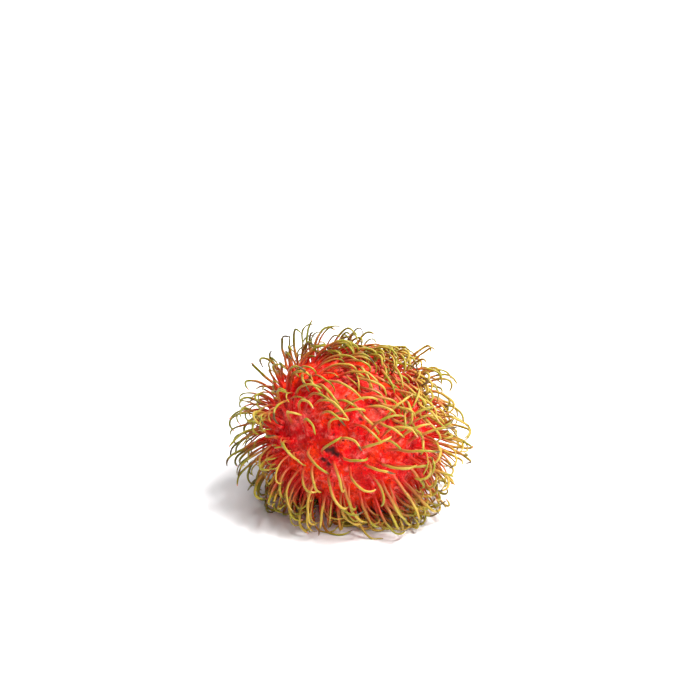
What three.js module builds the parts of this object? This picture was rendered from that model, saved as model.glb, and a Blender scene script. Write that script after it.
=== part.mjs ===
// A rambutan as picked: a red leathery rind that grows soft curved spines all over,
// and the short cut stub of its stalk. It lies on its side on a small flat spot.
// +X points to the fruit's tip, -X to its stalk, +Z up; the origin is the flat spot's centre.
import * as THREE from "three";
import { ConvexHull } from "three/addons/math/ConvexHull.js";

// The rind, in millimetres
const RIND_LENGTH = 42;
const RIND_WIDTH = 38;
const RIND_HEIGHT = 37;
const TIP_TAPER = 0.05; // how much slimmer the rind is towards its tip, and fuller towards its stalk
const FLAT_SPOT_RADIUS = 3;
const FLAT_SPOT_CORNERS = 12;
const SEAT_DEPTH = 1.1; // of the flat-bottomed dimple that the stalk stands in
const SEAT_RADIUS = 3.3;
const DIMPLE_RADIUS = 6.5;
const SEAT_RIM = 0.99; // where the dimple's slope begins, as a share of the seat's radius
const SEAT_CORNERS = 12;

// The spines, in millimetres
const SPINE_SITES = 440; // places on the whole rind; those under it and round the stalk stay bare
const SITE_JITTER = 0.18; // share of the distance between two sites
const LEAST_SPACING = 2.75; // between two roots
const LOWEST_ROOT = 1.6; // a root nearer to the table than this has no room for its spine
const STALK_MARGIN = 1.5; // from the seat of the stalk to the nearest root
const SPINE_LENGTH = 14;
const SPINE_LENGTH_SPREAD = 2.6;
const JOINTS = [0, 0.1, 0.33, 0.57, 0.8, 1]; // places along a spine where its centre line turns
const FOOT_RADIUS = 1.05;
const RADII = [FOOT_RADIUS, 0.62, 0.56, 0.5, 0.42, 0.05]; // at those places

// How a spine leans and curls: angles in radians
const LEAN = 0.3; // at the root, from the way straight out
const TOP_LEAN = 0.8; // added at the very top, where the spines lie over towards the tip
const TOP_COMB = 0.6; // share of the turning away from the tip that is lost there
const TOP_FROM = 0.15; // how high on the fruit the leaning over begins, from 0 at its middle to 1
const STEEPEST_LEAN = 1.1; // of the first joint
const CURL = 1.6; // turn of the heading between root and end
const CURL_SPREAD = 0.8;
const CURL_POWER = 1.7; // above 1 the curl gathers towards the end
const FLANK_CURL = 0.6; // share of the curl that is left at the middle of the two flanks
const LEVEL_BAND = 0.35; // share of the half height within which a spine leans up or down less
const FIRST_STRAY = 0.9; // largest turn of one spine's own lean away from its neighbours'
const STRAY = 1.1; // largest turn of one spine's own curl away from its neighbours'
const SWIRL = 0.8; // how far the curl turns about the rind from place to place
const RANDOM_SEED = 22;

// How the spines settle among each other, in millimetres
const SETTLING_ROUNDS = 60;
const FREE_ROUNDS = 20; // the last rounds, in which nothing draws a spine back
const SPRINGBACK = 0.07; // share of the way back to its free shape that a spine takes in a round
const PUSH_SHARE = 0.6; // of what two spines lack to their gap, that each is moved in a round
const SPINE_GAP = 0.16;
const RIND_GAP = 0.25;

// The stalk, in millimetres
const STALK_RADIUS = 1.5;
const STALK_LENGTH = 6;
const STALK_SIDES = 20;
const CALYX_RADIUS = 2.6;
const CALYX_HEIGHT = 1.1;
const CALYX_LOBES = 5;
const LOBE_DEPTH = 0.16; // share of the calyx's radius
const SEAT_GAP = 0.3;

const GOLDEN_ANGLE = Math.PI * (3 - Math.sqrt(5));
const TIPWARD = new THREE.Vector3(1, 0, 0);
const STALKWARD = new THREE.Vector3(-1, 0, 0);
const FLANKWARD = new THREE.Vector3(Math.SQRT1_2, Math.SQRT1_2, 0); // the other flank lies opposite
const DOWN = new THREE.Vector3(0, 0, -1);
const HALF = new THREE.Vector3(RIND_LENGTH / 2, RIND_WIDTH / 2, RIND_HEIGHT / 2);
const MEAN_RADIUS = (HALF.x + HALF.y + HALF.z) / 3;
const FLAT_SPOT_TILT = Math.asin(FLAT_SPOT_RADIUS / MEAN_RADIUS);
const CENTRE = new THREE.Vector3(0, 0, HALF.z * Math.cos(FLAT_SPOT_TILT));
const LAST = JOINTS.length - 1;
const LYING_HEIGHT = RADII.map((radius, k) => (k < LAST ? radius / 2 : 0)); // of a joint on the table
const THREE_SIDES = [[0, 1], [1, 2], [2, 0]]; // of a spine, as pairs of its corners
const NEARLY_ZERO = 1e-6;
const { clamp, lerp, smoothstep } = THREE.MathUtils;

// Numbers from 0 to 1 that come out alike each time
let randomState = RANDOM_SEED;
function random() {
  randomState = (randomState * 1664525 + 1013904223) % 4294967296;
  return randomState / 4294967296;
}
const spread = (amount) => amount * (2 * random() - 1);

// Two directions at right angles to a given one: the first leads towards the fruit's tip
function tangents(outward) {
  const along = TIPWARD.clone().addScaledVector(outward, -outward.x);
  if (along.lengthSq() < NEARLY_ZERO) along.set(0, 1, 0);
  along.normalize();
  return [along, outward.clone().cross(along)];
}

// A direction at a tilt from an axis, turned about it
function tilted(axis, tilt, turn) {
  const [along, across] = tangents(axis);
  return axis
    .clone()
    .multiplyScalar(Math.cos(tilt))
    .addScaledVector(along, Math.sin(tilt) * Math.cos(turn))
    .addScaledVector(across, Math.sin(tilt) * Math.sin(turn));
}

// Directions on a circle of the given radius on the rind
const ringOfDirections = (axis, radius, corners) =>
  Array.from({ length: corners }, (_, i) =>
    tilted(axis, Math.asin(radius / MEAN_RADIUS), (2 * Math.PI * i) / corners),
  );

const fromStalk = (direction) => MEAN_RADIUS * Math.acos(clamp(-direction.x, -1, 1));
const outwardAt = (direction) => direction.clone().divide(HALF).normalize();

// The rind's surface in a direction from its centre; the whole seat of the stalk is flat
function rindPoint(direction) {
  const taper = 1 - TIP_TAPER * direction.x;
  const dimple = 1 - smoothstep(fromStalk(direction), SEAT_RIM * SEAT_RADIUS, DIMPLE_RADIUS);
  const point = direction.clone().multiply(HALF);
  point.y *= taper;
  point.z *= direction.z < 0 ? 1 : taper;
  point.x = lerp(point.x, SEAT_DEPTH - HALF.x, dimple);
  return point.add(CENTRE);
}

// Even sites over the rind, on a spiral about its length, each moved a little
function spineSites() {
  const spacing = Math.sqrt((4 * Math.PI) / SPINE_SITES);
  const sites = [];
  for (let i = 0; i < SPINE_SITES; i++) {
    const x = 1 - (2 * (i + 0.5)) / SPINE_SITES;
    const turn = i * GOLDEN_ANGLE;
    const rim = Math.sqrt(1 - x * x);
    const site = new THREE.Vector3(x, rim * Math.cos(turn), rim * Math.sin(turn));
    const [along, across] = tangents(site);
    site.addScaledVector(along, spread(SITE_JITTER * spacing));
    site.addScaledVector(across, spread(SITE_JITTER * spacing)).normalize();
    const roomBelow = rindPoint(site).z > LOWEST_ROOT;
    const roomForStalk = fromStalk(site) > SEAT_RADIUS + STALK_MARGIN;
    const roomAround = sites.every((other) => MEAN_RADIUS * other.angleTo(site) > LEAST_SPACING);
    if (roomBelow && roomForStalk && roomAround) sites.push(site);
  }
  return sites;
}

// The way that curls run at a site, as a turn from the way to the fruit's tip
const swirlAt = (site) =>
  SWIRL *
  (Math.sin(2.1 * site.y + 1.3 * site.z) + 0.6 * Math.sin(3.7 * site.z - 2.3 * site.x + 1));

// A spine's centre line as it would grow with only the table in its way: it first leans up or down
// the side that it grows on, and swings round towards the fruit's tip as it curls over
function freeSpine(site) {
  const outward = outwardAt(site);
  const [along, across] = tangents(outward);
  const length = SPINE_LENGTH + spread(SPINE_LENGTH_SPREAD);
  const top = smoothstep(site.z, TOP_FROM, 1);
  const away = site.z < 0 ? -1 : 1;
  const below = Math.max(0, -site.z) ** 2;
  const steepness = Math.min(1, Math.abs(site.z) / LEVEL_BAND) * (1 - top) * (1 - below);
  const firstTurn = Math.atan2(away * across.z, away * along.z) * steepness + spread(FIRST_STRAY);
  const lastTurn = (1 - TOP_COMB * top) * (swirlAt(site) + spread(STRAY));
  const flank = site.dot(FLANKWARD) ** 2;
  const bend = (CURL + spread(CURL_SPREAD)) * lerp(1, FLANK_CURL, flank);
  const lean = LEAN * (0.5 + random()) + TOP_LEAN * top;
  const points = [rindPoint(site)];
  for (let k = 1; k <= LAST; k++) {
    const share = (JOINTS[k] + JOINTS[k - 1]) / 2;
    const stride = length * (JOINTS[k] - JOINTS[k - 1]);
    const turn = lerp(firstTurn, lastTurn, share);
    const tilt = lean + bend * share ** CURL_POWER;
    const way = outward
      .clone()
      .multiplyScalar(Math.cos(tilt))
      .addScaledVector(along, Math.sin(tilt) * Math.cos(turn))
      .addScaledVector(across, Math.sin(tilt) * Math.sin(turn));
    const before = points[k - 1];
    const drop = Math.max(way.z * stride, LYING_HEIGHT[k] - before.z);
    const level = Math.sqrt(Math.max(0, stride * stride - drop * drop));
    way.z = 0;
    if (way.lengthSq() < NEARLY_ZERO) way.set(outward.x, outward.y, 0);
    way.setLength(level);
    points.push(new THREE.Vector3(before.x + way.x, before.y + way.y, before.z + drop));
  }
  uprightNeck(points, outward);
  const free = points.map((point) => point.clone());
  return { site, points, free, distances: JOINTS.map((share) => share * length) };
}

// The first joint of a spine stands clear of the rind, however hard the spine leans
function uprightNeck(points, outward) {
  const way = points[1].clone().sub(points[0]);
  const stride = way.length();
  const lean = way.angleTo(outward);
  if (lean < STEEPEST_LEAN) return;
  const axis = way.clone().cross(outward).normalize();
  way.applyAxisAngle(axis, lean - STEEPEST_LEAN);
  const shift = points[0].clone().add(way.setLength(stride)).sub(points[1]);
  shift.z = Math.max(shift.z, LYING_HEIGHT[1] - points[1].z);
  for (const point of points.slice(1)) point.add(shift);
}

// The nearest points of two straight links a-b and c-d, as shares of the way along each
function nearestShares(a, b, c, d) {
  const u = b.clone().sub(a);
  const v = d.clone().sub(c);
  const w = a.clone().sub(c);
  const [uu, vv, uv, uw, vw] = [u.dot(u), v.dot(v), u.dot(v), u.dot(w), v.dot(w)];
  const slant = uu * vv - uv * uv;
  const s = slant < 1e-9 ? 0.5 : clamp((uv * vw - vv * uw) / slant, 0, 1);
  const t = (uv * s + vw) / vv;
  if (t >= 0 && t <= 1) return [s, t];
  const end = clamp(t, 0, 1);
  return [clamp((uv * end - uw) / uu, 0, 1), end];
}

// How far each joint is pushed by links of other spines that lie too close
function crowding(spines) {
  const pushes = spines.map((spine) => spine.points.map(() => new THREE.Vector3()));
  const links = spines.flatMap((spine, owner) =>
    spine.points.slice(1).map((end, k) => {
      const start = spine.points[k];
      const middle = start.clone().add(end).multiplyScalar(0.5);
      return { owner, k, start, end, middle, reach: start.distanceTo(end) / 2 + RADII[1] + SPINE_GAP };
    }),
  );
  const gap = new THREE.Vector3();
  for (let i = 0; i < links.length; i++)
    for (let j = i + 1; j < links.length; j++) {
      const [p, q] = [links[i], links[j]];
      if (p.owner === q.owner || p.middle.distanceTo(q.middle) > p.reach + q.reach) continue;
      const [s, t] = nearestShares(p.start, p.end, q.start, q.end);
      gap.lerpVectors(p.start, p.end, s).sub(q.start.clone().lerp(q.end, t));
      const thick =
        Math.min(RADII[1], lerp(RADII[p.k], RADII[p.k + 1], s)) +
        Math.min(RADII[1], lerp(RADII[q.k], RADII[q.k + 1], t));
      const distance = gap.length();
      if (distance >= thick + SPINE_GAP) continue;
      const push = PUSH_SHARE * (thick + SPINE_GAP - distance);
      gap.multiplyScalar(push / Math.max(distance, NEARLY_ZERO));
      pushes[p.owner][p.k].addScaledVector(gap, 1 - s);
      pushes[p.owner][p.k + 1].addScaledVector(gap, s);
      pushes[q.owner][q.k].addScaledVector(gap, t - 1);
      pushes[q.owner][q.k + 1].addScaledVector(gap, -t);
    }
  return pushes;
}

function keepOutOfRind(point, radius) {
  const clear = radius + RIND_GAP;
  const local = point.clone().sub(CENTRE);
  const level = Math.hypot(
    local.x / (HALF.x + clear),
    local.y / (HALF.y + clear),
    local.z / (HALF.z + clear),
  );
  if (level < 1) point.copy(local.divideScalar(level).add(CENTRE));
}

// The spines give way to the table, the rind and each other, each keeping its neck and its length
function settle(spines) {
  for (let round = 0; round < SETTLING_ROUNDS; round++) {
    const pushes = crowding(spines);
    const springback = round < SETTLING_ROUNDS - FREE_ROUNDS ? SPRINGBACK : 0;
    spines.forEach((spine, i) => {
      for (let k = 2; k <= LAST; k++) {
        const point = spine.points[k];
        const before = spine.points[k - 1];
        const stride = spine.distances[k] - spine.distances[k - 1];
        point.add(pushes[i][k]).lerp(spine.free[k], springback);
        keepOutOfRind(point, RADII[k]);
        point.z = Math.max(point.z, LYING_HEIGHT[k]);
        point.sub(before).setLength(stride).add(before);
        point.z = Math.max(point.z, LYING_HEIGHT[k]);
      }
    });
  }
}

// Three corners round each joint of a centre line, turning with it and never twisting,
// and pressed flat where the spine lies on the table
function spineRings(points, firstSide) {
  const side = firstSide.clone();
  return points.slice(1, LAST).map((point, i) => {
    const heading = points[i + 2].clone().sub(points[i]).normalize();
    side.addScaledVector(heading, -side.dot(heading)).normalize();
    return [0, 1, 2].map((corner) => {
      const turn = (corner * 2 * Math.PI) / 3;
      const place = side.clone().applyAxisAngle(heading, turn).multiplyScalar(RADII[i + 1]).add(point);
      place.z = Math.max(place.z, 0);
      return place;
    });
  });
}

// The rind's faces join the feet of the spines, and each spine is drawn out of its own foot
function fruitGeometry() {
  const spines = spineSites().map(freeSpine);
  settle(spines);
  const footTilt = FOOT_RADIUS / MEAN_RADIUS;
  const corners = [
    ...spines.flatMap(({ site }) =>
      [0, 1, 2].map((corner) => tilted(site, footTilt, (corner * 2 * Math.PI) / 3)),
    ),
    ...ringOfDirections(DOWN, FLAT_SPOT_RADIUS, FLAT_SPOT_CORNERS),
    ...ringOfDirections(STALKWARD, SEAT_RADIUS, SEAT_CORNERS),
    STALKWARD.clone(),
  ];
  const number = new Map(corners.map((corner, i) => [corner, i]));
  const positions = corners.map(rindPoint);
  const spineOf = (corner) => (corner < 3 * spines.length ? Math.floor(corner / 3) : -1);
  const faces = [];
  for (const { edge } of new ConvexHull().setFromPoints(corners).faces) {
    const trio = [edge, edge.next, edge.prev].map((e) => number.get(e.head().point));
    const [a, b, c] = trio.map(spineOf);
    if (a < 0 || a !== b || b !== c) faces.push(trio);
  }
  spines.forEach(({ site, points }, s) => {
    let lower = [3 * s, 3 * s + 1, 3 * s + 2];
    for (const ring of spineRings(points, tangents(site)[0])) {
      const upper = ring.map((point) => positions.push(point) - 1);
      for (const [c, d] of THREE_SIDES)
        faces.push([lower[c], lower[d], upper[d]], [lower[c], upper[d], upper[c]]);
      lower = upper;
    }
    const end = positions.push(points[LAST]) - 1;
    for (const [c, d] of THREE_SIDES) faces.push([lower[c], lower[d], end]);
  });
  const geometry = new THREE.BufferGeometry().setFromPoints(positions);
  geometry.setIndex(faces.flat());
  geometry.computeVertexNormals();
  return geometry;
}

// The stub of the stalk along +Y, with the lobed collar of the dried calyx round its foot
function stalkGeometry() {
  const outline = [
    [0, 0],
    [0.75 * CALYX_RADIUS, 0],
    [CALYX_RADIUS, 0.35],
    [0.9 * CALYX_RADIUS, 0.8],
    [1.15 * STALK_RADIUS, CALYX_HEIGHT],
    [STALK_RADIUS, 0.5 * STALK_LENGTH],
    [1.08 * STALK_RADIUS, STALK_LENGTH - 0.2],
    [0.9 * STALK_RADIUS, STALK_LENGTH],
    [0, STALK_LENGTH],
  ].map(([radius, height]) => new THREE.Vector2(radius, height));
  const geometry = new THREE.LatheGeometry(outline, STALK_SIDES);
  const place = geometry.getAttribute("position");
  for (let i = 0; i < place.count; i++) {
    const radius = Math.hypot(place.getX(i), place.getZ(i));
    if (radius <= 1.2 * STALK_RADIUS) continue;
    const turn = Math.atan2(place.getZ(i), place.getX(i));
    const lobe = 1 + LOBE_DEPTH * Math.cos(CALYX_LOBES * turn);
    place.setX(i, place.getX(i) * lobe);
    place.setZ(i, place.getZ(i) * lobe);
  }
  return geometry;
}

const fruit = new THREE.Mesh(
  fruitGeometry(),
  new THREE.MeshStandardMaterial({ color: 0xc4261d, roughness: 0.5, metalness: 0 }),
);
fruit.name = "fruit";

const stalk = new THREE.Mesh(
  stalkGeometry(),
  new THREE.MeshStandardMaterial({ color: 0x6b4a32, roughness: 0.85, metalness: 0 }),
);
stalk.name = "stalk";
stalk.position.copy(rindPoint(STALKWARD));
stalk.position.x -= SEAT_GAP;
stalk.rotation.z = Math.PI / 2;

const rambutan = new THREE.Group();
rambutan.add(fruit, stalk);

export default rambutan;
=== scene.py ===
# Dresses a packed rambutan: a leathery red rind, its curved spines, the finer spines between
# them and the cut stalk, on a pale floor under soft light. Lengths are in metres, angles in radians.
import math
import random

import bmesh
import bpy
import numpy as np
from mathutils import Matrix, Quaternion, Vector, kdtree, noise


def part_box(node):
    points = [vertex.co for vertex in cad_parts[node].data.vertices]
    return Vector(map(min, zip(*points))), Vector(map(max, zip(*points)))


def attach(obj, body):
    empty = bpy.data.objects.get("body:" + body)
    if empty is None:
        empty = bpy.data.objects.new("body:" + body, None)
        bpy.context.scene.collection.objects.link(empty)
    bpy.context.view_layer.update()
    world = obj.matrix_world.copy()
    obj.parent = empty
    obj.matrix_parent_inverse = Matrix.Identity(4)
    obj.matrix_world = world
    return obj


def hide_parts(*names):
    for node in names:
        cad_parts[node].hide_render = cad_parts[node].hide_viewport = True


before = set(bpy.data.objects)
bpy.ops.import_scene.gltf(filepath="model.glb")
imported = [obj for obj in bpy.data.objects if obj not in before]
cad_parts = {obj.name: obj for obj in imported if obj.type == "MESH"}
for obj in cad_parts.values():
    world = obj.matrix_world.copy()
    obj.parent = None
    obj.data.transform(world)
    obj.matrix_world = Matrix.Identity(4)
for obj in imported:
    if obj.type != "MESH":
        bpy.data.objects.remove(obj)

bl_info = {
    "name": "Rambutan",
    "version": (1, 0, 0),
    "blender": (4, 5, 0),
    "location": "3D View > Sidebar > Rambutan",
    "description": "Makes a spiny red rambutan with its stalk around a packed model",
    "category": "Add Mesh",
}

MM = 0.001
BODY = "root"
FRUIT_NODE = "fruit"
STALK_NODE = "stalk"
SEED = 20613

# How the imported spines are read: each has an end point, rings of three corners and a foot
SPINE_SIDES = 3
SPINE_RINGS = 4
WELD_DISTANCE = 0.002 * MM
PLACE_DIGITS = 6


class RindSettings(bpy.types.PropertyGroup):
    """Size and colours of the rind without its spines"""

    length: bpy.props.FloatProperty(
        name="Length",
        description="From the stalk end to the tip",
        default=42 * MM,
        unit="LENGTH",
    )
    width: bpy.props.FloatProperty(
        name="Width",
        description="Across the fruit, level with the table",
        default=38 * MM,
        unit="LENGTH",
    )
    height: bpy.props.FloatProperty(
        name="Height",
        description="Across the fruit, upright",
        default=37 * MM,
        unit="LENGTH",
    )
    tip_taper: bpy.props.FloatProperty(
        name="Tip taper",
        description="How much slimmer the rind is towards its tip",
        default=0.05,
        subtype="FACTOR",
    )
    flat_spot_radius: bpy.props.FloatProperty(
        name="Flat spot radius",
        description="Of the small flat spot that the fruit rests on",
        default=3 * MM,
        unit="LENGTH",
    )
    seat_depth: bpy.props.FloatProperty(
        name="Seat depth",
        description="How deep the stalk's seat lies below the rind's oval",
        default=1.1 * MM,
        unit="LENGTH",
    )
    seat_radius: bpy.props.FloatProperty(
        name="Seat radius",
        description="Of the flat seat that the stalk stands in",
        default=3.3 * MM,
        unit="LENGTH",
    )
    dimple_radius: bpy.props.FloatProperty(
        name="Dimple radius",
        description="Where the slope round the stalk's seat ends",
        default=6.5 * MM,
        unit="LENGTH",
    )
    mound_height: bpy.props.FloatProperty(
        name="Mound height",
        description="How far the rind swells up round the root of a spine",
        default=0.45 * MM,
        unit="LENGTH",
    )
    mound_radius: bpy.props.FloatProperty(
        name="Mound radius",
        description="How far out the rind swells round a spine's root",
        default=1.35 * MM,
        unit="LENGTH",
    )
    furrow_depth: bpy.props.FloatProperty(
        name="Furrow depth",
        description="Of the furrows between the mounds",
        default=0.25 * MM,
        unit="LENGTH",
    )
    crimson: bpy.props.FloatVectorProperty(
        name="Crimson",
        description="The rind's cooler red",
        default=(0.75, 0.002, 0.006),
        subtype="COLOR",
    )
    orange_red: bpy.props.FloatVectorProperty(
        name="Orange-red",
        description="The rind's warmer red",
        default=(0.89, 0.034, 0.001),
        subtype="COLOR",
    )
    # Pink: partly the rind's paler colour, partly painted highlight on the skin
    pink: bpy.props.FloatVectorProperty(
        name="Pink",
        description="The light mottling on the swellings",
        default=(0.96, 0.22, 0.18),
        subtype="COLOR",
    )
    # Dark red: the rind's own dark dots, and painted shade in the furrows and in dark blotches
    maroon_and_shade: bpy.props.FloatVectorProperty(
        name="Maroon",
        description="The dark red in the furrows",
        default=(0.30, 0.001, 0.002),
        subtype="COLOR",
    )
    scar: bpy.props.FloatVectorProperty(
        name="Scar",
        description="The dark brown of scars and specks",
        default=(0.055, 0.013, 0.012),
        subtype="COLOR",
    )


class SpineSettings(bpy.types.PropertyGroup):
    """Size and colours of the spines"""

    root_radius: bpy.props.FloatProperty(
        name="Root radius",
        description="Half the breadth of a spine where it leaves the rind",
        default=1.05 * MM,
        unit="LENGTH",
    )
    middle_radius: bpy.props.FloatProperty(
        name="Middle radius",
        description="Half the breadth of a spine at the middle of its length",
        default=0.355 * MM,
        unit="LENGTH",
    )
    end_radius: bpy.props.FloatProperty(
        name="End radius",
        description="Half the breadth of a spine just short of its end",
        default=0.23 * MM,
        unit="LENGTH",
    )
    young_count: bpy.props.IntProperty(
        name="Young spines",
        description="The largest number of finer spines between the others",
        default=520,
        min=0,
    )
    base_colour: bpy.props.FloatVectorProperty(
        name="Root colour",
        description="The red of a spine's root",
        default=(0.58, 0.022, 0.014),
        subtype="COLOR",
    )
    tan: bpy.props.FloatVectorProperty(
        name="Tan",
        description="The pinkish brown between the root and the green",
        default=(0.43, 0.120, 0.030),
        subtype="COLOR",
    )
    green: bpy.props.FloatVectorProperty(
        name="Green",
        description="The yellow-green of the outer part",
        default=(0.24, 0.217, 0.011),
        subtype="COLOR",
    )
    # Deep green: partly the spines' unripe colour near the stalk, partly painted shade there
    deep_green_and_shade: bpy.props.FloatVectorProperty(
        name="Deep green",
        description="The darker green near the stalk",
        default=(0.13, 0.130, 0.005),
        subtype="COLOR",
    )
    straw: bpy.props.FloatVectorProperty(
        name="Straw",
        description="The yellower tone of some spines",
        default=(0.47, 0.310, 0.044),
        subtype="COLOR",
    )
    brown: bpy.props.FloatVectorProperty(
        name="Brown",
        description="The dried ends and the specks",
        default=(0.065, 0.030, 0.014),
        subtype="COLOR",
    )
    withered: bpy.props.FloatVectorProperty(
        name="Withered",
        description="The pale pink of some spines' very ends",
        default=(0.70, 0.26, 0.20),
        subtype="COLOR",
    )


class StalkSettings(bpy.types.PropertyGroup):
    """Size and colours of the cut stalk"""

    radius: bpy.props.FloatProperty(
        name="Radius",
        description="Of the stub halfway up",
        default=1.5 * MM,
        unit="LENGTH",
    )
    collar_radius: bpy.props.FloatProperty(
        name="Collar radius",
        description="Of the dried collar round its foot, without the lobes",
        default=2.6 * MM,
        unit="LENGTH",
    )
    lobes: bpy.props.IntProperty(
        name="Lobes",
        description="Lobes of the dried collar",
        default=5,
        min=3,
    )
    bark: bpy.props.FloatVectorProperty(
        name="Bark",
        description="The brown of the stub",
        default=(0.17, 0.085, 0.040),
        subtype="COLOR",
    )
    cut: bpy.props.FloatVectorProperty(
        name="Cut",
        description="The paler wood of the cut end",
        default=(0.50, 0.34, 0.17),
        subtype="COLOR",
    )


class StageSettings(bpy.types.PropertyGroup):
    """The camera's angle and the floor"""

    azimuth: bpy.props.FloatProperty(
        name="Azimuth",
        description="Turn of the camera about the fruit",
        default=math.radians(45),
        subtype="ANGLE",
    )
    elevation: bpy.props.FloatProperty(
        name="Elevation",
        description="Angle of the camera above the table",
        default=math.radians(25),
        subtype="ANGLE",
    )
    distance: bpy.props.FloatProperty(
        name="Distance",
        description="From the camera to the point that it looks at",
        default=0.9,
        unit="LENGTH",
    )
    frame_width: bpy.props.FloatProperty(
        name="Frame width",
        description="How much of the scene fills the picture's width",
        default=175 * MM,
        unit="LENGTH",
    )
    drop: bpy.props.FloatProperty(
        name="Drop",
        description="How far the fruit's middle lies below the picture's middle",
        default=20.5 * MM,
        unit="LENGTH",
    )
    floor_colour: bpy.props.FloatVectorProperty(
        name="Floor",
        description="The pale floor",
        default=(0.86, 0.86, 0.87),
        subtype="COLOR",
    )


# Shape of the rind: where the slope of the stalk's seat begins, as a share of the seat's radius,
# and how finely two directions are told apart
SEAT_RIM = 0.99
KEYS_PER_UNIT = 1e6


def rind_half(rind):
    return np.array((rind.length, rind.width, rind.height)) / 2


def rind_centre(rind):
    """The fruit's middle, above the flat spot's centre at the origin"""
    half = rind_half(rind)
    tilt = math.asin(rind.flat_spot_radius / half.mean())
    return np.array((0.0, 0.0, half[2] * math.cos(tilt)))


def smooth_step(value, low, high):
    share = np.clip((value - low) / (high - low), 0, 1)
    return share * share * (3 - 2 * share)


def stalk_distance(rind, directions):
    """How far along the rind each direction meets it from the stalk's middle"""
    return rind_half(rind).mean() * np.arccos(np.clip(-directions[:, 0], -1, 1))


def rind_points(rind, directions):
    """The smooth rind's surface in the given directions from its middle"""
    half = rind_half(rind)
    taper = 1 - rind.tip_taper * directions[:, 0]
    from_stalk = stalk_distance(rind, directions)
    dimple = 1 - smooth_step(from_stalk, SEAT_RIM * rind.seat_radius, rind.dimple_radius)
    points = directions * half
    points[:, 1] *= taper
    points[:, 2] *= np.where(directions[:, 2] < 0, 1, taper)
    points[:, 0] += dimple * (rind.seat_depth - half[0] - points[:, 0])
    return points + rind_centre(rind)


def outward_ways(rind, directions):
    ways = directions / rind_half(rind)
    return ways / np.linalg.norm(ways, axis=1, keepdims=True)


def cube_sphere(steps):
    """Even directions over a sphere, and the quads that join them"""
    turns = np.tan(np.linspace(-math.pi / 4, math.pi / 4, steps + 1))
    across, up = np.meshgrid(turns, turns, indexing="ij")
    one = np.ones_like(across)
    sides = (
        (one, across, up),
        (-one, -across, up),
        (-across, one, up),
        (across, -one, up),
        (-up, across, one),
        (up, across, -one),
    )
    cells = np.arange((steps + 1) ** 2).reshape(steps + 1, steps + 1)
    corners = (cells[:-1, :-1], cells[1:, :-1], cells[1:, 1:], cells[:-1, 1:])
    quads = np.stack([c.ravel() for c in corners], axis=1)
    points = np.concatenate([np.stack([c.ravel() for c in side], axis=1) for side in sides])
    faces = np.concatenate([quads + i * cells.size for i in range(len(sides))])
    points /= np.linalg.norm(points, axis=1, keepdims=True)
    keys = np.round(points * KEYS_PER_UNIT).astype(np.int64)
    _, first, merged = np.unique(keys, axis=0, return_index=True, return_inverse=True)
    return points[first], merged.ravel()[faces]


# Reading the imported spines

def ring_beyond(ring, seen):
    """The corners that the ring's edges lead to, apart from those already seen"""
    reached = {edge.other_vert(corner) for corner in ring for edge in corner.link_edges}
    return reached - seen


def middle_of(corners):
    """The mean of some corners, added up in an order that is the same in each run"""
    places = sorted(tuple(corner.co) for corner in corners)
    return sum((Vector(place) for place in places), Vector()) / len(places)


def packed_spines(fruit):
    """The joints of each packed spine's centre line, from its foot to its end"""
    mesh = bmesh.new()
    mesh.from_mesh(fruit.data)
    bmesh.ops.remove_doubles(mesh, verts=mesh.verts, dist=WELD_DISTANCE)
    lines = []
    for end in mesh.verts:
        if len(end.link_edges) != SPINE_SIDES:
            continue
        seen = {end}
        ring = {end}
        line = [end.co.copy()]
        for _ in range(SPINE_RINGS + 1):
            ring = ring_beyond(ring, seen)
            if len(ring) != SPINE_SIDES:
                break
            seen |= ring
            line.append(middle_of(ring))
        if len(line) == SPINE_RINGS + 2:
            lines.append(line[::-1])
    mesh.free()
    if not lines:
        raise RuntimeError("the packed fruit has no spines that can be followed")
    return sorted(lines, key=lambda line: tuple(round(c, PLACE_DIGITS) for c in line[0]))


# Pieces of mesh

def new_piece(name, points, faces, material):
    mesh = bpy.data.meshes.new(name)
    mesh.from_pydata([tuple(p) for p in points], [], [tuple(f) for f in faces])
    mesh.validate()
    mesh.shade_smooth()
    mesh.materials.append(material)
    piece = bpy.data.objects.new(name, mesh)
    bpy.context.scene.collection.objects.link(piece)
    return piece


def store(piece, name, values):
    """Keeps one number for each corner of a piece, for its material to read"""
    attribute = piece.data.attributes.new(name, "FLOAT", "POINT")
    attribute.data.foreach_set("value", np.asarray(values, dtype=np.float32))


# Spines: the points taken between two joints, the slow change in breadth with its rate in radians
# and its greatest phase, and the depth over the breadth at some shares of the length
CURVE_PARTS = 10
SWELLING = 0.07
SWELLING_RATE = 1.7 / MM
SWELLING_PHASE = 6
FLATNESS = ((0, 0.12, 0.5, 1), (0.62, 0.72, 0.84, 0.95))

# Below this sine of the angle between its two ends a spine is straight. Its point is as long as
# this share of its last radius, and no corner lies lower than the gap.
STRAIGHT = 0.05
POINT_LENGTH = 0.7
TABLE_GAP = 0.02 * MM

# Hooks: the share of spines that have one, its angles, and the share of the length where it starts
HOOKED_SHARE = 0.85
HOOK_ANGLES = (0.4, 1.9)
HOOK_START = 0.74

# A spine's own small bends: waves in a span, their height, the shares of the length where they
# start and over which they grow, and what they lose towards the end
WAVES = (0.9, 1.9, 3.3)
WAVE_SPAN = 14 * MM
WAVE_HEIGHT = 0.11 * MM
WAVE_START = 0.12
WAVE_GROWTH = 0.3
WAVE_LOSS = 0.3

# How deep a spine's root is fixed in the rind
ROOT_DEPTH = 0.5 * MM
YOUNG_ROOT_DEPTH = 0.4 * MM


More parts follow.
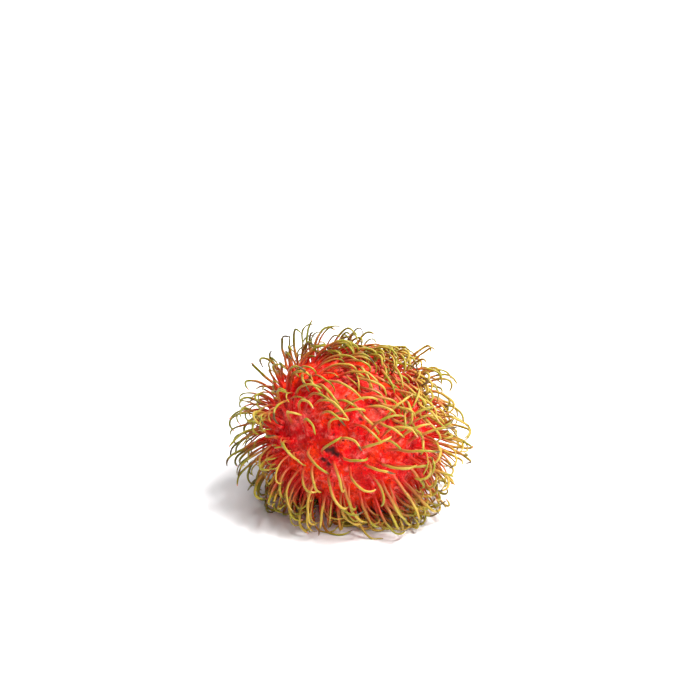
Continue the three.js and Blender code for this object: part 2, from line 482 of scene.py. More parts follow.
def smooth_line(joints, steps):
    """A smooth curve through the joints, as evenly spaced points"""
    joints = [2 * joints[0] - joints[1], *joints, 2 * joints[-1] - joints[-2]]
    dense = []
    for a, b, c, d in zip(joints, joints[1:], joints[2:], joints[3:]):
        for i in range(CURVE_PARTS):
            t = i / CURVE_PARTS
            dense.append(
                0.5 * (2 * b + (c - a) * t + (2 * a - 5 * b + 4 * c - d) * t * t
                       + (3 * b - 3 * c + d - a) * t ** 3)
            )
    dense.append(joints[-2])
    dense = np.array(dense)
    walked = np.concatenate([[0], np.cumsum(np.linalg.norm(np.diff(dense, axis=0), axis=1))])
    wanted = np.linspace(0, walked[-1], steps + 1)
    even = np.stack([np.interp(wanted, walked, dense[:, i]) for i in range(3)], axis=1)
    return even, walked[-1]


class SpineMesh:
    """Gathers the corners and faces of many spines"""

    def __init__(self, sides, steps):
        self.sides = sides
        self.steps = steps
        self.points = []
        self.faces = []
        self.along = []
        self.tint = []
        self.dry = []

    def add(self, joints, outward, radii, draw, ripe=1.0):
        """Sweeps an oval section along a smooth line; an unripe spine keeps more of its root's red"""
        line, length = smooth_line(joints, self.steps)
        shares = np.linspace(0, 1, self.steps + 1)
        line = self.bent(line, shares, length, draw)
        swelling = np.sin(draw.uniform(0, SWELLING_PHASE) + shares * length * SWELLING_RATE)
        radius = np.interp(shares, *radii) * (1 + SWELLING * swelling)
        tint = draw.random()
        dry = draw.random()
        start = len(self.points)
        self.sweep(line, radius, np.interp(shares, *FLATNESS), outward)
        added = len(self.points) - start
        self.along += [ripe * share for share in shares for _ in range(self.sides)] + [ripe]
        self.tint += [tint] * added
        self.dry += [dry] * added
        self.join(start)

    def sweep(self, line, radius, flatness, outward):
        """Rings of corners round the line, and one more that closes its end"""
        heading = np.gradient(line, axis=0)
        heading /= np.linalg.norm(heading, axis=1, keepdims=True)
        side = Vector(heading[0]).cross(Vector(heading[-1]))
        if side.length < STRAIGHT:
            side = Vector(outward).orthogonal()
        side.normalize()
        for k in range(self.steps + 1):
            way = Vector(heading[k])
            side = (side - way * side.dot(way)).normalized()
            up = way.cross(side)
            for i in range(self.sides):
                turn = 2 * math.pi * i / self.sides
                corner = (
                    Vector(line[k])
                    + side * (radius[k] * math.cos(turn))
                    + up * (radius[k] * flatness[k] * math.sin(turn))
                )
                self.points.append(corner)
        self.points.append(Vector(line[-1]) + Vector(heading[-1]) * (POINT_LENGTH * radius[-1]))

    def bent(self, line, shares, length, draw):
        """Small bends of the spine's own, and a tighter hook at most ends"""
        if draw.random() < HOOKED_SHARE:
            line = self.hooked(line, shares, draw.uniform(*HOOK_ANGLES))
        waves = np.zeros_like(line)
        for wave in WAVES:
            way = np.array([draw.gauss(0, 1) for _ in range(3)])
            phase = draw.uniform(0, 2 * math.pi)
            turn = shares[:, None] * length / WAVE_SPAN * 2 * math.pi * wave
            waves += way * np.sin(phase + turn) / wave
        grown = np.clip((shares - WAVE_START) / WAVE_GROWTH, 0, 1)[:, None]
        fade = grown * (1 - WAVE_LOSS * shares[:, None])
        return line + WAVE_HEIGHT * waves * fade

    def hooked(self, line, shares, angle):
        """The line with its last part rolled up further the way that it already curls"""
        axis = Vector(line[1] - line[0]).cross(Vector(line[-1] - line[-2]))
        if axis.length == 0:
            return line
        axis.normalize()
        points = [Vector(p) for p in line]
        ends = [points[0]]
        for k in range(1, len(points)):
            turned = Quaternion(axis, angle * max(0.0, shares[k] - HOOK_START) / (1 - HOOK_START))
            ends.append(ends[-1] + turned @ (points[k] - points[k - 1]))
        return np.array(ends)

    def join(self, start):
        """Faces between the rings that begin at a corner's number"""
        for k in range(self.steps):
            for i in range(self.sides):
                j = (i + 1) % self.sides
                low = start + k * self.sides
                self.faces.append((low + i, low + j, low + self.sides + j, low + self.sides + i))
        last = start + self.steps * self.sides
        for i in range(self.sides):
            self.faces.append((last + i, last + (i + 1) % self.sides, last + self.sides))
        self.faces.append(tuple(start + i for i in reversed(range(self.sides))))

    def piece(self, name, material):
        points = np.array(self.points)
        points[:, 2] = np.maximum(points[:, 2], TABLE_GAP)
        piece = new_piece(name, points, self.faces, material)
        store(piece, "along", self.along)
        store(piece, "tint", self.tint)
        store(piece, "dry", self.dry)
        return piece


def sunk(joints, outward, depth):
    """The joints with one more below the rind, which the root is fixed in"""
    return [joints[0] - outward * depth, *joints]


# Materials: the rind's and the spines' plain sockets, and how matt the bark and the floor are
RIND_FINISH = (
    ("Subsurface Weight", 0.05),
    ("Subsurface Radius", (1.0, 0.15, 0.05)),
    ("Subsurface Scale", 0.8 * MM),
    ("Specular IOR Level", 0.12),
    ("Specular Tint", (1.0, 0.68, 0.6, 1.0)),
)
SPINE_FINISH = (
    ("Subsurface Weight", 0.15),
    ("Subsurface Radius", (0.8, 0.6, 0.2)),
    ("Subsurface Scale", 0.5 * MM),
    ("Specular IOR Level", 0.40),
    ("Specular Tint", (1.0, 0.9, 0.75, 1.0)),
)
BARK_ROUGHNESS = 0.82
FLOOR_ROUGHNESS = 0.6

# Second colours of the bark, the cut wood and the floor
BARK_CRACK = (0.07, 0.035, 0.018)
GREY_BARK = (0.30, 0.24, 0.17)
WOOD_RING = (0.36, 0.22, 0.10)
FLOOR_SHADE = (0.7, 0.7, 0.7)


class Shader:
    """Short names for building a material's nodes"""

    def __init__(self, name):
        self.material = bpy.data.materials.new(name)
        self.material.use_nodes = True
        self.tree = self.material.node_tree
        self.surface = self.tree.nodes["Principled BSDF"]

    def node(self, kind, **settings):
        node = self.tree.nodes.new(kind)
        for key, value in settings.items():
            setattr(node, key, value)
        return node

    def link(self, value, socket):
        if isinstance(value, bpy.types.NodeSocket):
            self.tree.links.new(value, socket)
        elif value is not None:
            socket.default_value = value

    def place(self):
        return self.node("ShaderNodeTexCoord").outputs["Object"]

    def number(self, name):
        return self.node("ShaderNodeAttribute", attribute_name=name).outputs["Fac"]

    def noise(self, size, detail=2.0, roughness=0.5, distortion=0.0, where=None):
        """Blotches of the given size over the piece"""
        node = self.node("ShaderNodeTexNoise")
        self.link(where or self.place(), node.inputs["Vector"])
        node.inputs["Scale"].default_value = 1 / size
        node.inputs["Detail"].default_value = detail
        node.inputs["Roughness"].default_value = roughness
        node.inputs["Distortion"].default_value = distortion
        return node.outputs["Fac"]

    def range(self, value, low, high, to_low=0.0, to_high=1.0):
        """Goes smoothly from to_low to to_high while the value goes from low to high"""
        node = self.node("ShaderNodeMapRange", interpolation_type="SMOOTHSTEP")
        self.link(value, node.inputs["Value"])
        node.inputs["From Min"].default_value = low
        node.inputs["From Max"].default_value = high
        node.inputs["To Min"].default_value = to_low
        node.inputs["To Max"].default_value = to_high
        return node.outputs["Result"]

    def math(self, operation, a, b=None):
        node = self.node("ShaderNodeMath", operation=operation)
        self.link(a, node.inputs[0])
        self.link(b, node.inputs[1])
        return node.outputs[0]

    def mix(self, share, a, b):
        """Colour a, covered by this share of colour b"""
        node = self.node("ShaderNodeMix", data_type="RGBA")
        self.link(share, node.inputs["Factor"])
        self.link(a, node.inputs[6])
        self.link(b, node.inputs[7])
        return node.outputs[2]

    def bump(self, height, distance, normal=None):
        node = self.node("ShaderNodeBump")
        node.inputs["Distance"].default_value = distance
        self.link(height, node.inputs["Height"])
        self.link(normal, node.inputs["Normal"])
        return node.outputs["Normal"]

    def finish(self, colour, roughness, normal=None, plain_sockets=()):
        """Joins what was made to the surface, sets its plain sockets and gives the material"""
        self.link(colour, self.surface.inputs["Base Color"])
        self.link(roughness, self.surface.inputs["Roughness"])
        self.link(normal, self.surface.inputs["Normal"])
        for name, value in plain_sockets:
            self.surface.inputs[name].default_value = value
        return self.material


def rgba(colour):
    return (*colour, 1.0)


def skin_colour_with_painted_light(shader, rind):
    """Crimson and orange-red patches under pink drifts, mottling and fine grains that are partly painted
    highlight, then painted shade blotches and dark dots
    """
    patches = shader.range(shader.noise(11 * MM, 4, 0.6, 0.8), 0.43, 0.58)
    colour = shader.mix(patches, rgba(rind.crimson), rgba(rind.orange_red))
    # Pink layers: partly the rind's paler colour, partly painted highlight
    drift_and_sheen = shader.range(shader.noise(7 * MM, 3, 0.6, 0.6), 0.52, 0.68, 0.0, 0.5)
    colour = shader.mix(drift_and_sheen, colour, rgba(rind.pink))
    mottle_and_highlight = shader.range(shader.noise(2.2 * MM, 5, 0.7, 0.4), 0.52, 0.68, 0.0, 0.8)
    colour = shader.mix(mottle_and_highlight, colour, rgba(rind.pink))
    # Painted shade: dark red blotches laid at random over the skin
    shade = shader.range(shader.noise(1.1 * MM, 5, 0.7, 0.5), 0.34, 0.55, 0.62, 0.0)
    colour = shader.mix(shade, colour, rgba(rind.maroon_and_shade))
    dots = shader.range(shader.noise(0.5 * MM, 3, 0.6), 0.53, 0.66, 0.0, 0.5)
    colour = shader.mix(dots, colour, rgba(rind.maroon_and_shade))
    flecks_and_glints = shader.range(shader.noise(0.7 * MM, 3, 0.6, 0.3), 0.55, 0.68, 0.0, 0.25)
    return shader.mix(flecks_and_glints, colour, rgba(rind.pink))


def rind_material(rind):
    """Leathery skin: mottled reds, painted shade in the furrows, brown specks and scars"""
    shader = Shader("rind_skin")
    colour = skin_colour_with_painted_light(shader, rind)
    # Painted shade: dark red laid into the furrows between the mounds
    furrow = shader.math("MULTIPLY", shader.number("furrow"), 0.45)
    colour = shader.mix(furrow, colour, rgba(rind.maroon_and_shade))
    specks = shader.range(shader.noise(0.9 * MM, 2, 0.6, 0.6), 0.655, 0.69, 0.0, 0.9)
    colour = shader.mix(specks, colour, rgba(rind.scar))
    colour = shader.mix(shader.number("scar"), colour, rgba(rind.scar))
    gloss = shader.range(shader.noise(2.4 * MM, 2), 0.3, 0.7, 0.28, 0.50)
    dull = shader.math("MULTIPLY", shader.number("scar"), 0.4)
    roughness = shader.math("ADD", gloss, dull)
    wide = shader.bump(shader.noise(2.0 * MM, 3, 0.6), 0.30 * MM)
    coarse = shader.bump(shader.noise(0.8 * MM, 3, 0.6), 0.30 * MM, wide)
    fine = shader.bump(shader.noise(0.3 * MM, 2, 0.5), 0.06 * MM, coarse)
    return shader.finish(colour, roughness, fine, RIND_FINISH)


def spine_material(spine, rind):
    """Like the rind at the foot, then red, tan and yellow-green, with specks and dried or pink ends;
    darker and greener towards the stalk, partly painted shade
    """
    shader = Shader("spine_skin")
    along = shader.number("along")
    tint = shader.number("tint")
    dry = shader.number("dry")
    wander = shader.range(shader.noise(4 * MM, 2), 0.3, 0.7, -0.10, 0.10)
    shifted = shader.math("ADD", along, wander)
    shifted = shader.math("ADD", shifted, shader.range(tint, 0, 1, -0.05, 0.08))
    split = shader.node("ShaderNodeSeparateXYZ")
    shader.link(shader.place(), split.inputs[0])
    # Painted shade, in part: spines go yellower towards +X and greener, darker towards the stalk end at
    # -X, besides their own tint
    side = shader.range(split.outputs["X"], -22 * MM, 22 * MM, -0.35, 0.25)
    straw = shader.range(shader.math("ADD", tint, side), 0.45, 1.0)
    green = shader.mix(straw, rgba(spine.green), rgba(spine.straw))
    blotch = shader.range(shader.noise(2.2 * MM, 3, 0.6), 0.35, 0.7)
    green = shader.mix(shader.math("MULTIPLY", blotch, 0.45), green, rgba(spine.straw))
    # A deeper green towards the stalk: partly unripe colour, partly painted shade
    stalk_end_green_and_shade = shader.range(split.outputs["X"], -4 * MM, -21 * MM, 0.0, 0.8)
    green = shader.mix(stalk_end_green_and_shade, green, rgba(spine.deep_green_and_shade))
    # The foot takes the rind's colours, with their painted shade and painted highlight
    foot = shader.mix(shader.range(along, 0.05, 0.17), skin_colour_with_painted_light(shader, rind), rgba(spine.base_colour))
    colour = shader.mix(shader.range(shifted, 0.15, 0.40), foot, rgba(spine.tan))
    colour = shader.mix(shader.range(shifted, 0.36, 0.70), colour, green)
    specks = shader.range(shader.noise(0.9 * MM, 2, 0.5), 0.68, 0.74, 0.0, 0.8)
    specks = shader.math("MULTIPLY", specks, shader.range(along, 0.1, 0.4))
    colour = shader.mix(specks, colour, rgba(spine.brown))
    dried_from = shader.range(dry, 0.35, 1.0, 1.02, 0.80)
    along_dried = shader.math("ADD", along, shader.math("MULTIPLY", wander, 0.4))
    dried = shader.math("SUBTRACT", along_dried, dried_from)
    colour = shader.mix(shader.range(dried, 0.0, 0.07, 0.0, 0.9), colour, rgba(spine.brown))
    very_end = shader.range(along, 0.95, 0.98)
    least_dry = shader.range(dry, 0.30, 0.34, 0.8, 0.0)
    colour = shader.mix(shader.math("MULTIPLY", very_end, least_dry), colour, rgba(spine.withered))
    gloss = shader.range(shader.noise(1.5 * MM, 2), 0.3, 0.7, 0.30, 0.46)
    grain = shader.bump(shader.noise(0.45 * MM, 3, 0.6), 0.06 * MM)
    return shader.finish(colour, gloss, grain, SPINE_FINISH)


def stalk_material(stalk):
    """Dry bark with lengthwise cracks, and pale wood with darker rings on the cut"""
    shader = Shader("stalk_bark")
    lengthened = shader.node("ShaderNodeMapping")
    lengthened.inputs["Scale"].default_value = (0.2, 1.0, 1.0)
    shader.link(shader.place(), lengthened.inputs["Vector"])
    grain = shader.noise(0.35 * MM, 4, 0.6, 0.4, lengthened.outputs["Vector"])
    bark = shader.mix(shader.range(grain, 0.3, 0.7), rgba(BARK_CRACK), rgba(stalk.bark))
    grey = shader.range(shader.noise(1.3 * MM, 2), 0.52, 0.75, 0.0, 0.6)
    bark = shader.mix(grey, bark, rgba(GREY_BARK))
    rings = shader.range(shader.noise(0.3 * MM, 2), 0.35, 0.65)
    wood = shader.mix(rings, rgba(stalk.cut), rgba(WOOD_RING))
    colour = shader.mix(shader.number("cut"), bark, wood)
    return shader.finish(colour, BARK_ROUGHNESS, shader.bump(grain, 0.09 * MM))


def floor_material(stage):
    """Plain pale floor, barely mottled"""
    shader = Shader("floor")
    tone = shader.range(shader.noise(0.05, 2), 0.3, 0.7, 0.0, 0.05)
    colour = shader.mix(tone, rgba(stage.floor_colour), rgba(FLOOR_SHADE))
    return shader.finish(colour, FLOOR_ROUGHNESS)


# Scars of the rind: the way from the fruit's middle as (turn about +Z, height) in degrees, and radius
SCARS = (
    (-62, 12, 1.5 * MM),
    (-66, 13, 1.1 * MM),
    (-58, 10, 1.0 * MM),
    (-54, 9, 0.8 * MM),
    (-67, 4, 1.1 * MM),
    (-64, 1, 1.0 * MM),
    (-54, 21, 0.7 * MM),
    (-50, 55, 1.0 * MM),
    (-34, 71, 0.7 * MM),
    (-39, 38, 0.8 * MM),
    (-5, 32, 0.7 * MM),
    (10, 75, 0.9 * MM),
    (60, 30, 1.2 * MM),
    (95, -15, 0.9 * MM),
    (140, 25, 1.4 * MM),
    (165, 48, 0.8 * MM),
    (200, -10, 1.0 * MM),
    (250, 40, 0.9 * MM),
)


# Their depth, the grain and the strength of their ragged rims, and the shares of a scar's radius
# where it begins to fade and ends
SCAR_DEPTH = 0.15 * MM
RAGGED_GRAIN = 0.9 * MM
RAGGEDNESS = 0.45
SCAR_CORE = 0.3
SCAR_RIM = 1.1

# Relief of the rind: the roots that count at a point, how sharp the mounds are, the swelling under
# which furrows start and the range over which they deepen, and how far from a root they fade
NEAREST_ROOTS = 4
MOUND_SHARPNESS = 1.3
FURROW_SWELL = 0.42
FURROW_RANGE = 0.40
FURROW_FADE = (2.6 * MM, 4 * MM)

# Low lumps and fine wrinkles of the skin
LUMP_SIZE = 2.4 * MM
LUMP_HEIGHT = 0.17 * MM
WRINKLE_SIZE = 0.95 * MM
WRINKLE_HEIGHT = 0.08 * MM


def noise_at(points, size):
    return np.array([noise.noise(Vector(p) / size) for p in points])


def mounds_and_furrows(rind, points):
    """How far each point is up a mound, and how far down a furrow, both from 0 to 1"""
    roots = kdtree.KDTree(len(SPINES))
    for i, joints in enumerate(SPINES):
        roots.insert(joints[0], i)
    roots.balance()
    near = np.array([[found[2] for found in roots.find_n(p, NEAREST_ROOTS)] for p in points])
    swell = np.exp(-((near / rind.mound_radius) ** 2)).sum(axis=1)
    mound = np.clip(swell, 0, 1) ** MOUND_SHARPNESS
    furrow = smooth_step(FURROW_SWELL - swell, 0.0, FURROW_RANGE)
    return mound, furrow * (1 - smooth_step(near[:, 0], *FURROW_FADE))


def scar_share(directions, points, centre):
    """How much of a scar lies at each point, from 0 to 1, with ragged rims"""
    share = np.zeros(len(points))
    ragged = noise_at(points, RAGGED_GRAIN)
    for turn, height, radius in SCARS:
        a = math.radians(turn)
        e = math.radians(height)
        way = np.array((math.cos(a) * math.cos(e), math.sin(a) * math.cos(e), math.sin(e)))
        away = np.linalg.norm(directions - way, axis=1) * np.linalg.norm(points - centre, axis=1)
        away += RAGGEDNESS * radius * ragged
        share = np.maximum(share, 1 - smooth_step(away, SCAR_CORE * radius, SCAR_RIM * radius))
    return share


class MESH_OT_rambutan_rind(bpy.types.Operator):
    """Makes the rind, swollen round each spine's root, with furrows between"""

    bl_idname = "mesh.rambutan_rind"
    bl_label = "Rind"

    STEPS = 124

    def execute(self, context):
        rind = context.scene.rambutan_rind
        directions, faces = cube_sphere(self.STEPS)
        points = rind_points(rind, directions)
        mound, furrow = mounds_and_furrows(rind, points)
        scar = scar_share(directions, points, rind_centre(rind))
        lumps = LUMP_HEIGHT * noise_at(points, LUMP_SIZE)
        wrinkles = WRINKLE_HEIGHT * noise_at(points, WRINKLE_SIZE)
        relief = rind.mound_height * mound - rind.furrow_depth * furrow
        relief += lumps + wrinkles - SCAR_DEPTH * scar
        relief *= smooth_step(stalk_distance(rind, directions), rind.seat_radius, rind.dimple_radius)
        points = points + outward_ways(rind, directions) * relief[:, None]
        points[:, 2] = np.maximum(points[:, 2], 0)
        piece = new_piece("rind", points, faces, rind_material(rind))
        store(piece, "furrow", furrow)
        store(piece, "scar", scar)
        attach(piece, BODY)
        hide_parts(FRUIT_NODE)
        return {"FINISHED"}


def outward_at(rind, point):
    """The way out of the rind at a point near it"""
    way = (np.array(point) - rind_centre(rind)) / rind_half(rind) ** 2
    return Vector(way).normalized()


class MESH_OT_rambutan_spines(bpy.types.Operator):
    """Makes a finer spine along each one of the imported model"""

    bl_idname = "mesh.rambutan_spines"
    bl_label = "Spines"

    def execute(self, context):
        rind = context.scene.rambutan_rind
        spine = context.scene.rambutan_spine
        draw = random.Random(SEED)
        radii = spine_radii(spine)
        mesh = SpineMesh(sides=9, steps=26)
        for joints in SPINES:
            outward = outward_at(rind, joints[0])
            mesh.add(sunk(joints, outward, ROOT_DEPTH), outward, radii, draw)
        piece = mesh.piece("spines", spine_material(spine, rind))
        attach(piece, BODY)
        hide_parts(FRUIT_NODE)
        return {"FINISHED"}


def spine_radii(spine, scale=1.0):
    """Shares of a spine's length, and its radius there"""
    shares = (0, 0.05, 0.12, 0.22, 0.5, 0.8, 0.95, 1)
    root = spine.root_radius
    middle = spine.middle_radius
    end = spine.end_radius
    sizes = (root, 0.85 * root, 1.35 * middle, 1.12 * middle, middle, 0.87 * middle, end, 0.45 * end)
    return shares, [scale * size for size in sizes]


# The cheek with few young spines: the way to its middle, and the angles between which it ends
CHEEK_WAY = np.array((0.64, -0.64, 0.42))
CHEEK_RIM = (math.radians(42), math.radians(75))

# Where young spines stand: places tried on a spiral and its half turns from one to the next, the
# least distance between roots, and the least from the table and from the stalk's seat
TRIES = 5000
SPIRAL_TURN = 3 - math.sqrt(5)
ROOT_SPACING = 1.25 * MM
LOWEST_ROOT = 0.7 * MM
SEAT_GAP = 1.2 * MM

# How a young spine differs from its neighbour: its turn either way, its share of the size and of
# the thickness, and how ripe the very smallest would be. Its joints keep above the last height.
YOUNG_TURN = 0.25
YOUNG_SIZES = (0.45, 1.05)
YOUNG_THICKNESS = (0.6, 0.85)
YOUNG_RIPENESS = 0.3
LOWEST_JOINT = 0.3 * MM


def young_sites(rind, count, draw):
    """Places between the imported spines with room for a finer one"""
    taken = [joints[0] for joints in SPINES]
    young = []
    for i in range(TRIES):
        x = 1 - 2 * (i + 0.5) / TRIES
        turn = i * math.pi * SPIRAL_TURN + draw.uniform(0, 1)
        rim = math.sqrt(1 - x * x)
        direction = np.array((x, rim * math.cos(turn), rim * math.sin(turn)))
        from_cheek = math.acos(max(-1.0, min(1.0, float(direction @ CHEEK_WAY))))
        if draw.random() > smooth_step(from_cheek, *CHEEK_RIM):
            continue
        place = Vector(rind_points(rind, direction[None])[0])
        from_stalk = stalk_distance(rind, direction[None])[0]
        if place.z < LOWEST_ROOT or from_stalk < rind.seat_radius + SEAT_GAP:
            continue
        young.append(place)
    draw.shuffle(young)
    sites = []
    for place in young:
        if min((place - other).length for other in taken) < ROOT_SPACING:
            continue
        taken.append(place)
        sites.append(place)
        if len(sites) == count:
            break
    return sites


class MESH_OT_rambutan_young_spines(bpy.types.Operator):
    """Makes finer spines between the others, each shaped after its nearest neighbour"""

    bl_idname = "mesh.rambutan_young_spines"
    bl_label = "Young spines"

    def execute(self, context):
        rind = context.scene.rambutan_rind
        spine = context.scene.rambutan_spine
        draw = random.Random(SEED + 1)
        mesh = SpineMesh(sides=7, steps=20)
        for place in young_sites(rind, spine.young_count, draw):
            model = min(SPINES, key=lambda joints: (joints[0] - place).length)
            outward = outward_at(rind, place)
            turn = outward_at(rind, model[0]).rotation_difference(outward)
            turn = Quaternion(outward, draw.uniform(-YOUNG_TURN, YOUNG_TURN)) @ turn
            size = draw.uniform(*YOUNG_SIZES)
            joints = [place + size * (turn @ (joint - model[0])) for joint in model]
            for joint in joints:
                joint.z = max(joint.z, LOWEST_JOINT)
            radii = spine_radii(spine, draw.uniform(*YOUNG_THICKNESS))
            ripe = YOUNG_RIPENESS + (1 - YOUNG_RIPENESS) * size
            mesh.add(sunk(joints, outward, YOUNG_ROOT_DEPTH), outward, radii, draw, ripe)
        piece = mesh.piece("young_spines", bpy.data.materials["spine_skin"])
        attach(piece, BODY)
        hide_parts(FRUIT_NODE)
        return {"FINISHED"}


# Outline of the stalk: a share of the collar's or the stub's radius, with a height above the foot,
# or in the last table with a depth below the top
COLLAR_ROWS = (
    (0.0, 0.0),
    (0.4, 0.0),
    (0.75, 0.0),
    (0.93, 0.12 * MM),
    (1.0, 0.35 * MM),
    (0.97, 0.6 * MM),
    (0.88, 0.82 * MM),
)
FOOT_ROWS = ((1.28, 0.95 * MM), (1.14, 1.15 * MM))
CUT_ROWS = (
    (1.06, 0.12 * MM),
    (0.98, 0.0),
    (0.8, 0.05 * MM),
    (0.5, 0.05 * MM),
    (0.2, 0.05 * MM),
    (0.0, 0.08 * MM),
)

# The stub between them: its first ring's height, its last one's depth below the top, the number of
# rings, and how much slimmer it is halfway
STUB_START = 1.4 * MM
STUB_STOP = 0.25 * MM
STUB_RINGS = 16
STUB_WAIST = 0.05

# The collar has lobes where it is wider than this many stub radii, and the stub has uneven ribs
# and even grooves from this height up to the cut's edge
LOBED_BEYOND = 1.2
LOBE_DEPTH = 0.16
RIBBED_FROM = 1.2 * MM
RIBS = 3
RIB_LENGTH = 6 * MM
RIB_DEPTH = 0.09
GROOVES = 11
GROOVE_DEPTH = 0.03

# Bare wood lies this near the top and within this share of the stub's radius, and corners nearer
# to each other than the last length are welded
CUT_EDGE = 0.1 * MM
CUT_SHARE = 0.9
RING_WELD = 0.001 * MM


class MESH_OT_rambutan_stalk(bpy.types.Operator):
    """Makes the cut stub with its ribs and the dried, lobed collar round its foot"""

    bl_idname = "mesh.rambutan_stalk"
    bl_label = "Stalk"

    SIDES = 60

    def profile(self, stalk, length):
        """Radius and height of the rings, from the foot to the middle of the cut"""
        rows = [(share * stalk.collar_radius, height) for share, height in COLLAR_ROWS]
        rows += [(share * stalk.radius, height) for share, height in FOOT_ROWS]
        for i, height in enumerate(np.linspace(STUB_START, length - STUB_STOP, STUB_RINGS)):
            waist = STUB_WAIST * math.sin(math.pi * i / (STUB_RINGS - 1))
            rows.append((stalk.radius * (1 + STUB_WAIST - waist), height))
        rows += [(share * stalk.radius, length - depth) for share, depth in CUT_ROWS]
        return rows

    def size_at(self, stalk, length, radius, height, turn):
        """A ring's radius at one turn, with the collar's lobes or the stub's ribs and grooves"""
        if radius > LOBED_BEYOND * stalk.radius:
            return radius * (1 + LOBE_DEPTH * math.cos(stalk.lobes * turn))
        if height <= RIBBED_FROM or height >= length - CUT_EDGE:
            return radius
        place = Vector((RIBS * math.cos(turn), RIBS * math.sin(turn), height / RIB_LENGTH))
        return radius * (1 + RIB_DEPTH * noise.noise(place) + GROOVE_DEPTH * math.cos(GROOVES * turn))

    def faces(self, rings):
        """The quads between each ring and the next"""
        faces = []
        for low in range(0, (rings - 1) * self.SIDES, self.SIDES):
            high = low + self.SIDES
            for i in range(self.SIDES):
                j = (i + 1) % self.SIDES
                faces.append((low + i, high + i, high + j, low + j))
        return faces

    def execute(self, context):
        stalk = context.scene.rambutan_stalk
        low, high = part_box(STALK_NODE)
        foot = Vector((high.x, (low.y + high.y) / 2, (low.z + high.z) / 2))
        length = high.x - low.x
        rows = self.profile(stalk, length)
        points = []
        cut = []
        for radius, height in rows:
            bare = height > length - CUT_EDGE and radius < CUT_SHARE * stalk.radius
            cut += [float(bare)] * self.SIDES
            for i in range(self.SIDES):
                turn = 2 * math.pi * i / self.SIDES
                size = self.size_at(stalk, length, radius, height, turn)
                across = size * math.cos(turn)
                up = size * math.sin(turn)
                points.append((foot.x - height, foot.y + across, foot.z + up))
        piece = new_piece("stalk_stub", points, self.faces(len(rows)), stalk_material(stalk))
        store(piece, "cut", cut)
        close_ends(piece)
        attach(piece, BODY)
        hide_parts(STALK_NODE)
        return {"FINISHED"}


def close_ends(piece):
    """Welds the rings that have shrunk to a point"""
    mesh = bmesh.new()
    mesh.from_mesh(piece.data)
    bmesh.ops.remove_doubles(mesh, verts=mesh.verts, dist=RING_WELD)
    bmesh.ops.recalc_face_normals(mesh, faces=mesh.faces)
    mesh.to_mesh(piece.data)
    mesh.free()


class SCENE_OT_rambutan_camera(bpy.types.Operator):
    """Sets the camera at the photograph's angle"""

    bl_idname = "scene.rambutan_camera"
    bl_label = "Camera"

    SENSOR = 36.0  # millimetres across
    NEAREST = 0.01
    FARTHEST = 20

    def execute(self, context):
        stage = context.scene.rambutan_stage
        rind = context.scene.rambutan_rind
        camera = bpy.data.objects.new("camera", bpy.data.cameras.new("camera"))
        context.scene.collection.objects.link(camera)
        level = math.cos(stage.elevation)
        back = Vector(
            (math.sin(stage.azimuth) * level, -math.cos(stage.azimuth) * level, math.sin(stage.elevation))
        )
        turned = (-back).to_track_quat("-Z", "Y")
        target = Vector(rind_centre(rind)) + turned @ Vector((0, stage.drop, 0))
        camera.rotation_mode = "QUATERNION"
        camera.rotation_quaternion = turned
        camera.location = target + back * stage.distance
        camera.data.sensor_width = self.SENSOR
        camera.data.lens = self.SENSOR * stage.distance / stage.frame_width
        camera.data.clip_start = self.NEAREST
        camera.data.clip_end = self.FARTHEST
        context.scene.camera = camera
        return {"FINISHED"}


# Lamps: name, place, breadth and watts
LAMPS = (
    ("key", (0.34, 0.20, 0.85), 0.35, 18),
    ("fill", (0.85, -0.45, 0.35), 0.5, 3.2),
    ("back", (-0.5, 0.7, 0.6), 0.5, 4.5),
)
LIT_PLACE = Vector((0, 0, 0.02))
SKY_STRENGTH = 0.27
FLOOR_REACH = 3.0


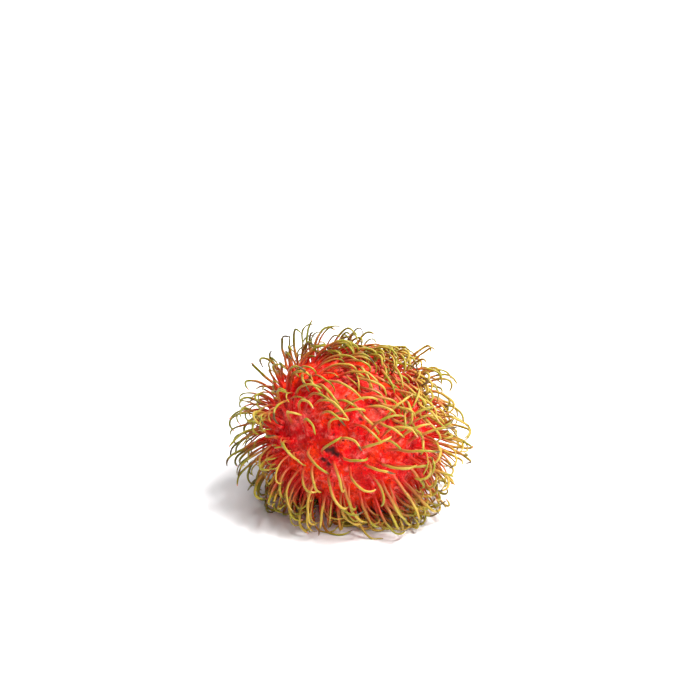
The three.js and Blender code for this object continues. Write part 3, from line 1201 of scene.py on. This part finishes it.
class SCENE_OT_rambutan_stage(bpy.types.Operator):
    """Makes the pale floor and the soft light"""

    bl_idname = "scene.rambutan_stage"
    bl_label = "Floor and light"

    def lamp(self, context, name, place, size, watts):
        light = bpy.data.lights.new(name, "AREA")
        light.size = size
        light.energy = watts
        lamp = bpy.data.objects.new(name, light)
        lamp.location = place
        lamp.rotation_mode = "QUATERNION"
        lamp.rotation_quaternion = (LIT_PLACE - lamp.location).to_track_quat("-Z", "Y")
        context.scene.collection.objects.link(lamp)

    def execute(self, context):
        stage = context.scene.rambutan_stage
        signs = ((-1, -1), (1, -1), (1, 1), (-1, 1))
        corners = [(x * FLOOR_REACH, y * FLOOR_REACH, 0) for x, y in signs]
        floor = new_piece("floor", corners, [(0, 1, 2, 3)], floor_material(stage))
        for lamp in LAMPS:
            self.lamp(context, *lamp)
        world = bpy.data.worlds.new("studio")
        world.use_nodes = True
        backdrop = world.node_tree.nodes["Background"]
        backdrop.inputs["Color"].default_value = (1, 1, 1, 1)
        backdrop.inputs["Strength"].default_value = SKY_STRENGTH
        context.scene.world = world
        context.scene.view_settings.view_transform = "Standard"
        return {"FINISHED"}


class VIEW3D_PT_rambutan(bpy.types.Panel):
    """Lists the rambutan's settings and steps"""

    bl_idname = "VIEW3D_PT_rambutan"
    bl_label = "Rambutan"
    bl_space_type = "VIEW_3D"
    bl_region_type = "UI"
    bl_category = "Rambutan"

    def draw(self, context):
        column = self.layout.column()
        for operator in OPERATORS:
            column.operator(operator.bl_idname)
        for settings in SETTINGS:
            group = getattr(context.scene, settings)
            for name in group.bl_rna.properties.keys():
                if name not in ("rna_type", "name"):
                    column.prop(group, name)


SPINES = packed_spines(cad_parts[FRUIT_NODE])

OPERATORS = (
    SCENE_OT_rambutan_camera,
    MESH_OT_rambutan_rind,
    MESH_OT_rambutan_spines,
    MESH_OT_rambutan_young_spines,
    MESH_OT_rambutan_stalk,
    SCENE_OT_rambutan_stage,
)
SETTINGS = {
    "rambutan_rind": RindSettings,
    "rambutan_spine": SpineSettings,
    "rambutan_stalk": StalkSettings,
    "rambutan_stage": StageSettings,
}


def register():
    for group in SETTINGS.values():
        bpy.utils.register_class(group)
    for name, group in SETTINGS.items():
        setattr(bpy.types.Scene, name, bpy.props.PointerProperty(type=group))
    for operator in OPERATORS:
        bpy.utils.register_class(operator)
    bpy.utils.register_class(VIEW3D_PT_rambutan)


def unregister():
    bpy.utils.unregister_class(VIEW3D_PT_rambutan)
    for operator in reversed(OPERATORS):
        bpy.utils.unregister_class(operator)
    for name, group in SETTINGS.items():
        delattr(bpy.types.Scene, name)
        bpy.utils.unregister_class(group)


def main():
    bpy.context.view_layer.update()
    register()
    bpy.ops.scene.rambutan_camera()
    bpy.ops.mesh.rambutan_rind()
    bpy.ops.mesh.rambutan_spines()
    bpy.ops.mesh.rambutan_young_spines()
    bpy.ops.mesh.rambutan_stalk()
    bpy.ops.scene.rambutan_stage()


if __name__ == "__main__":
    main()
